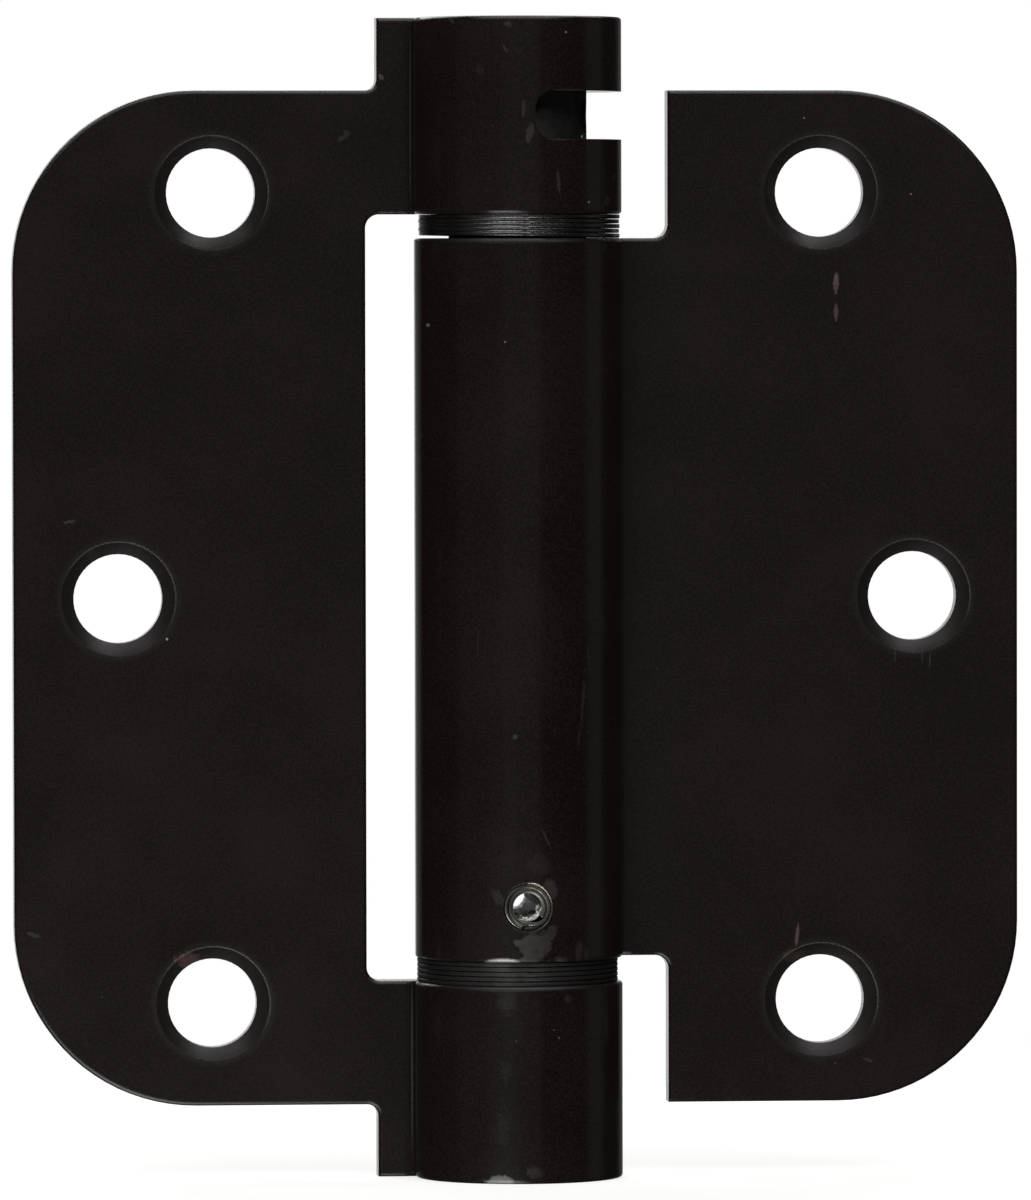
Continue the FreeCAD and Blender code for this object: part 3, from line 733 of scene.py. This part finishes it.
dress("frame_leaf", paint("frame leaf paint", FRAME_MARKS, 3.0))
dress("door_leaf", paint("door leaf paint", DOOR_MARKS, 71.0))

# %% [markdown]
# ## Bare steel
#
# The washers, the pin, the spool, the plug and the spring aren't painted. Steel is a metal, so its colour
# is the colour of its reflection, and what tells one finish from another is how rough it is and in which
# pattern. One recipe serves them all, and the burr at the pin's hole too: a base tone, a darker film of oil
# and dust in blotches, and fine turning marks round the axis, which are a noise stretched along the circle.
# A steel may also have marks that are no metal, and here they are painted light: a painted highlight on the
# spool and painted shade in the pin's bore.

# %% Steel material
TURNING_MARKS = {"Z": (0.25, 0.25, 9.0), "Y": (0.25, 9.0, 0.25)}
BRIGHTER = 1.25
TURNING_MEETS = (0.35, 0.65)
FILM_FADES = (-0.12, 0.12)
STEEL_EDGE_SHOWS = 0.5
STEEL_DUST_SHOWS = 0.5
FILM_IS_DULLER = 0.18
DIRT_IS_DULLER = 0.45
LINES_ARE_DULLER = 0.08
LINE_BUMP = 0.2
LINE_HEIGHT = 0.01


def steel(name, tone, film, film_share, roughness, seed, turned_about="Z", dirt=(), edge_width=0.12):
    """A bare or oiled steel. Film is the dark coat on it, and the share says how much is covered."""
    material, tree, shader = new_material(name)
    place = in_millimetres(tree)
    shifted = vector_maths(tree, "ADD", place, (seed, seed, seed))
    stretched = vector_maths(tree, "MULTIPLY", shifted, TURNING_MARKS[turned_about])
    lines = noise(tree, stretched, scale=1.6)
    blotches = noise(tree, shifted, scale=0.55, detail=4.0, roughness=0.6)
    bright = tuple(min(1.0, v * BRIGHTER) for v in tone[:3]) + (1.0,)
    colour = blend(tree, ramp(tree, lines, *TURNING_MEETS), tone, bright)
    covered = ramp(tree, maths(tree, "SUBTRACT", film_share, blotches), *FILM_FADES)
    colour = blend(tree, covered, colour, film)
    edge = use(tree, edge_group, {"Place": shifted, "Width": edge_width, "Raggedness": 0.5, "Fineness": 2.5})
    colour = lay_over(tree, colour, bright, edge["Mask"], STEEL_EDGE_SHOWS)
    dust = use(tree, dust_group, {"Place": shifted, "Spacing": 1.6, "Share": 0.12, "Size": 0.05})["Mask"]
    colour = lay_over(tree, colour, DUST, dust, STEEL_DUST_SHOWS)
    # The dirt marks here are painted light: the spool's painted highlight and the painted shade in the pin's
    # bore.
    painted_light_share = 0.0
    for row in dirt:
        mark = Mark(*row)
        mask = mark_mask(tree, place, blotches, mark)
        colour = blend(tree, mask, colour, mark.shows)
        painted_light_share = maths(tree, "MAXIMUM", painted_light_share, mask)
    plug(tree, shader["Base Color"], colour)
    plug(tree, shader["Metallic"], maths(tree, "SUBTRACT", 1.0, painted_light_share) if dirt else 1.0)
    rough = maths(tree, "MULTIPLY_ADD", maths(tree, "MAXIMUM", covered, dust), FILM_IS_DULLER, roughness)
    rough = maths(tree, "MULTIPLY_ADD", painted_light_share, DIRT_IS_DULLER, rough)
    plug(tree, shader["Roughness"], maths(tree, "MULTIPLY_ADD", lines, LINES_ARE_DULLER, rough))
    roughen(tree, shader, lines, LINE_BUMP, LINE_HEIGHT, edge["Normal"])
    print("material:", name, "nodes:", len(tree.nodes))
    return material


# %% [markdown]
# ## Steel of the washers and of what runs inside
#
# The upper washers are brighter and carry a little oil. The lower ones are much darker, with old grease. The
# spool is dull and has one pale speck where the slot shows it, which is a painted highlight. The plug and the
# spring are oily.

# %% Steel on the solids
OILY = (0.030, 0.031, 0.028, 1.0)
UPPER_TONE, UPPER_FILM = (0.145, 0.150, 0.145, 1.0), (0.088, 0.088, 0.084, 1.0)
LOWER_TONE, LOWER_FILM = (0.052, 0.054, 0.051, 1.0), (0.038, 0.038, 0.036, 1.0)
SPOOL_TONE, SPOOL_FILM = (0.088, 0.085, 0.085, 1.0), (0.055, 0.053, 0.052, 1.0)
PLUG_TONE = (0.160, 0.155, 0.150, 1.0)
SPRING_TONE = (0.100, 0.095, 0.090, 1.0)
# The spool's pale speck is a painted highlight where the slot shows it.
SPOOL_GLINT = [("painted glint at the slot", 5.42, 40.36, 0.15, 0.15, 0, 0.0, DUST, 0.9)]

upper_steel = steel("upper washer steel", UPPER_TONE, UPPER_FILM, 0.35, 0.22, 5.0)
lower_steel = steel("lower washer steel", LOWER_TONE, LOWER_FILM, 0.50, 0.42, 11.0)
for node_name in nodes:
    if node_name.startswith("upper_washer"):
        dress(node_name, upper_steel)
    if node_name.startswith("lower_washer"):
        dress(node_name, lower_steel)
dress("adjusting_spool", steel("spool steel", SPOOL_TONE, SPOOL_FILM, 0.45, 0.44, 31.0, dirt=SPOOL_GLINT))
dress("pivot_plug", steel("plug steel", PLUG_TONE, OILY, 0.45, 0.36, 37.0))
dress("torsion_spring", steel("spring steel", SPRING_TONE, OILY, 0.55, 0.30, 43.0))

# %% [markdown]
# ## The coiled pin
#
# The solid of this pin is a plain tube with a slit. The real pin is a strip of spring steel that is rolled up
# twice, and its end shows it: the outer turn stops in a lip near the bottom, and from there the strip ducks
# under it. A tube with a groove in its shader would miss that step. So the strip's own cross-section is
# carried round the coil here, one station after another, and the weighted normals keep its flats flat.
#
# A place round the pin is given in degrees from the right, counted over the top. A place along the strip is
# given in degrees from the lip, counted the way a clock's hand goes.

# %% The strip's path and its cross-section
PIN_RADIUS = 2.05
PIN_HEIGHT = -26.70
PIN_REACH = 8.77
STRIP = 0.39
LAYER_GAP = 0.02
LIP_AT = 257
DUCKS_FROM = 294
DUCKS_TO = 346
STRIP_END = 652


def around_pin(radius, angle, depth):
    """A point of the pin, from its distance to the axis, its angle in degrees and its depth."""
    turn = math.radians(angle)
    return Vector((radius * math.cos(turn), depth, PIN_HEIGHT + radius * math.sin(turn))) * MM


def coil_outside(turned):
    """The outer radius of the strip, for how many degrees it has gone clockwise from the lip."""
    turn, rest = divmod(turned, 360)
    share = min(1.0, max(0.0, (rest - DUCKS_FROM) / (DUCKS_TO - DUCKS_FROM)))
    return PIN_RADIUS - (turn + share * share * (3 - 2 * share)) * (STRIP + LAYER_GAP)


def strip_section(outside, outer_round, inner_round):
    """Points round the strip's cross-section, as radius and depth, with both of its ends rounded."""
    corners = [(outside - STRIP + inner_round, inner_round, range(180, 269, 30)),
               (outside - outer_round, outer_round, range(270, 361, 18))]
    front = [(centre + size * math.cos(math.radians(a)), -PIN_REACH + size + size * math.sin(math.radians(a)))
             for centre, size, angles in corners for a in angles]
    return [(radius, -depth) for radius, depth in front] + front[::-1]


print("the strip ends at radius in mm:", round(coil_outside(STRIP_END), 2))

# %% [markdown]
# ## Steel of the pin
#
# The pin's steel is darkened inside the bore, which is painted shade. The rounded ends of the outer turn were
# burnished when the pin was driven in, so they have a brighter steel, which is the second finish of the
# piece.

# %% Pin steel
BORE_SHADE_TONE = (0.016, 0.015, 0.013, 1.0)
PIN_TONE, PIN_FILM = (0.140, 0.140, 0.125, 1.0), (0.070, 0.068, 0.058, 1.0)
BURNISHED_TONE, BURNISHED_FILM = (0.42, 0.42, 0.40, 1.0), (0.22, 0.22, 0.20, 1.0)
# The dark coat inside the bore is painted shade.
BORE_SHADE = [("painted shade in the bore", 0.0, PIN_HEIGHT, 1.27, 1.27, 0, 0.0, BORE_SHADE_TONE, 0.9)]
FINE_EDGE = 0.02

pin_steel = steel("pin steel", PIN_TONE, PIN_FILM, 0.50, 0.26, 23.0, "Y", BORE_SHADE, FINE_EDGE)
burnished = steel("burnished steel", BURNISHED_TONE, BURNISHED_FILM, 0.40, 0.22, 29.0, "Y", (), FINE_EDGE)

# %% [markdown]
# ## From a drawn shape to a piece
#
# Every piece that is drawn here ends in the same way: its faces are turned to look outwards, it becomes a
# mesh with smooth shading, and it gets its finishes. One helper does that for the pin, the dirt and the burr.

# %% Helper: a finished piece
def finished(name, shape, finishes):
    """Turns a drawn shape into a smooth shaded piece of the scene, with its finishes in their order."""
    bmesh.ops.recalc_face_normals(shape, faces=shape.faces)
    mesh = bpy.data.meshes.new(name)
    shape.to_mesh(mesh)
    shape.free()
    mesh.shade_smooth()
    for finish in finishes:
        mesh.materials.append(finish)
    piece = bpy.data.objects.new(name, mesh)
    bpy.context.scene.collection.objects.link(piece)
    print("piece:", name, "faces:", len(mesh.polygons))
    return piece


# %% [markdown]
# ## The coil itself
#
# Each station is a ring of points round the strip. The rings are joined by faces, and the two last rings are
# closed. The outer turn has larger round edges than the inner one, and only those edges, at both ends of the
# pin, get the second finish.

# %% Coiled pin
STEP = 4
VISIBLE_ROUND = 0.16
HIDDEN_ROUND = 0.07
INNER_ROUND = 0.05
OUTER_ROUNDS = (*range(4, 9), *range(10, 15))

pin_shape = bmesh.new()
stations = []
for turned in range(0, STRIP_END + 1, STEP):
    outer_round = VISIBLE_ROUND if turned < DUCKS_TO else HIDDEN_ROUND
    section = strip_section(coil_outside(turned), outer_round, INNER_ROUND)
    stations.append([pin_shape.verts.new(around_pin(r, LIP_AT - turned, y)) for r, y in section])
outer_faces = len(stations[0]) * DUCKS_TO // STEP
for here, there in zip(stations, stations[1:]):
    for i in range(len(here)):
        face = pin_shape.faces.new((here[i - 1], here[i], there[i], there[i - 1]))
        face.material_index = 1 if i in OUTER_ROUNDS and len(pin_shape.faces) < outer_faces else 0
pin_shape.faces.new(stations[0])
pin_shape.faces.new(reversed(stations[-1]))
coiled_pin = finished("coiled_pin", pin_shape, (pin_steel, burnished))
coiled_pin.modifiers.new("flats stay flat", "WEIGHTED_NORMAL")
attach(coiled_pin, "door_side")
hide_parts("hollow_pin")

# %% [markdown]
# ## Dirt and painted shade in the pin
#
# The lower half of the pin's bore is caked with pale grit, and light from above falls on it. The grit is a
# bed with an uneven top, which follows the wall from one end of the bore to the other, and crumbs on it:
# small balls that are pushed in and out at random, so that no two are alike. A dark filling in the step where
# the strip ducks under its lip is painted shade. Both are made as dry grit, in two tones with lumps.

# %% Grit as a material
GRIT_MEETS = (0.38, 0.56)
PALE_GRIT = ((0.26, 0.26, 0.25, 1.0), (0.62, 0.63, 0.60, 1.0))
# The dark grit fills the pin's step as painted shade.
STEP_SHADE_GRIT = ((0.020, 0.020, 0.014, 1.0), (0.045, 0.044, 0.034, 1.0))


def grit(name, tones):
    """Dry grit with lumps, from its darker to its paler tone. The dark tones serve as painted shade in the
    pin's step.
    """
    material, tree, shader = new_material(name)
    lumps = noise(tree, in_millimetres(tree), scale=2.6, detail=3.0, roughness=0.7)
    plug(tree, shader["Base Color"], blend(tree, ramp(tree, lumps, *GRIT_MEETS), *tones))
    plug(tree, shader["Roughness"], maths(tree, "MULTIPLY_ADD", lumps, 0.3, 0.3))
    roughen(tree, shader, lumps, 0.3, 0.05)
    print("material:", name)
    return material


def closed_bed(shape, rows):
    """Joins rows of points into a closed lump. Each row is a ring round the lump."""
    rings = [[shape.verts.new(point) for point in row] for row in rows]
    for here, there in zip(rings, rings[1:]):
        for i in range(len(here)):
            shape.faces.new((here[i - 1], here[i], there[i], there[i - 1]))
    shape.faces.new(rings[0])
    shape.faces.new(reversed(rings[-1]))


# %% Bed of grit, and painted shade in the step
BORE = 1.24
BED_FROM, BED_TO = -128, 2
BED_THICKNESS = 0.36
BED_ROWS = 35
BED_FRONT = -8.5
BED_PITCH = 0.5
STEP_DIRT_TO = 364
STEP_FACE = -8.62
STEP_BACK = -8.2
SUNK = 0.01

chance = random.Random(26)
bed_rows = []
for i in range(BED_ROWS):
    depth = BED_FRONT + i * BED_PITCH
    angles = range(BED_FROM, BED_TO + 1, 10)
    swell = [math.sin(math.pi * (a - BED_FROM) / (BED_TO - BED_FROM)) for a in angles]
    crown = [BED_THICKNESS * height * chance.uniform(0.55, 1.0) for height in swell]
    top = [around_pin(BORE - height, a, depth) for a, height in zip(angles, crown)]
    under = [around_pin(BORE + SUNK, a, depth) for a in reversed(angles)]
    bed_rows.append(top + under)
step_rows = []
for turned in range(DUCKS_FROM + 10, STEP_DIRT_TO, 6):
    angle = LIP_AT - turned
    face = STEP_FACE + chance.uniform(-0.03, 0.06)
    low, high = coil_outside(turned), PIN_RADIUS + SUNK
    step_rows.append([around_pin(low, angle, face), around_pin(high, angle, face + 0.05),
                      around_pin(high, angle, STEP_BACK), around_pin(low, angle, STEP_BACK)])
print("rows of the bed:", len(bed_rows), "rows in the step:", len(step_rows))

# %% Crumbs, and the finished dirt and painted shade
CRUMB_COUNT = 26
CRUMB_REACH = 0.25
CRUMBS_TO = -3.0

dirt_and_shade_shape = bmesh.new()
closed_bed(dirt_and_shade_shape, bed_rows)
for i in range(CRUMB_COUNT):
    size = chance.uniform(0.07, 0.19)
    angle = chance.uniform(BED_FROM, BED_TO)
    where = around_pin(BORE - CRUMB_REACH, angle, chance.uniform(BED_FRONT, CRUMBS_TO))
    ball = bmesh.ops.create_icosphere(dirt_and_shade_shape, subdivisions=2, radius=size * MM)["verts"]
    for vert in ball:
        vert.co = where + vert.co * chance.uniform(0.75, 1.25)
pale_faces = len(dirt_and_shade_shape.faces)
# The dark filling of the step is painted shade.
closed_bed(dirt_and_shade_shape, step_rows)
dirt_and_shade_shape.faces.ensure_lookup_table()
for face in dirt_and_shade_shape.faces[pale_faces:]:
    face.material_index = 1
pin_dirt_and_shade = finished("pin_dirt_and_shade", dirt_and_shade_shape, (grit("pale grit", PALE_GRIT), grit("painted shade in the step", STEP_SHADE_GRIT)))
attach(pin_dirt_and_shade, "door_side")

# %% [markdown]
# ## The burr of the pin's hole
#
# Driving the pin turned up a thin edge of bare metal on the upper right of its hole, and it shines. A bright
# line in the paint's shader would not catch the light by itself. This is a real half-round ridge, which
# follows the round of the barrel and thins out towards both of its ends.

# %% Burr
BARREL_RADIUS = 9.1
HOLE_RADIUS = 2.07
BURR_FROM, BURR_TO = 16, 92
BURR_WIDTH = 0.105
BURR_RISE = 0.8
BURR_TONE, BURR_FILM = (0.34, 0.30, 0.23, 1.0), (0.22, 0.18, 0.13, 1.0)

burr_rows = []
for angle in range(BURR_FROM, BURR_TO + 1, 4):
    share = (angle - BURR_FROM) / (BURR_TO - BURR_FROM)
    bulge = math.sin(math.pi * min(1.0, share * 0.9 + 0.05)) ** 0.6
    width = BURR_WIDTH * bulge * chance.uniform(0.75, 1.1)
    row = []
    for around in range(0, 360, 45):
        point = around_pin(HOLE_RADIUS + width + width * math.cos(math.radians(around)), angle, 0.0)
        rise = BURR_RISE * width * math.sin(math.radians(around)) * MM
        point.y = -math.sqrt((BARREL_RADIUS * MM) ** 2 - point.x ** 2) - rise
        row.append(point)
    burr_rows.append(row)
burr_shape = bmesh.new()
closed_bed(burr_shape, burr_rows)
burr_steel = steel("burr steel", BURR_TONE, BURR_FILM, 0.40, 0.24, 51.0)
pin_hole_burr = finished("pin_hole_burr", burr_shape, (burr_steel,))
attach(pin_hole_burr, "door_side")
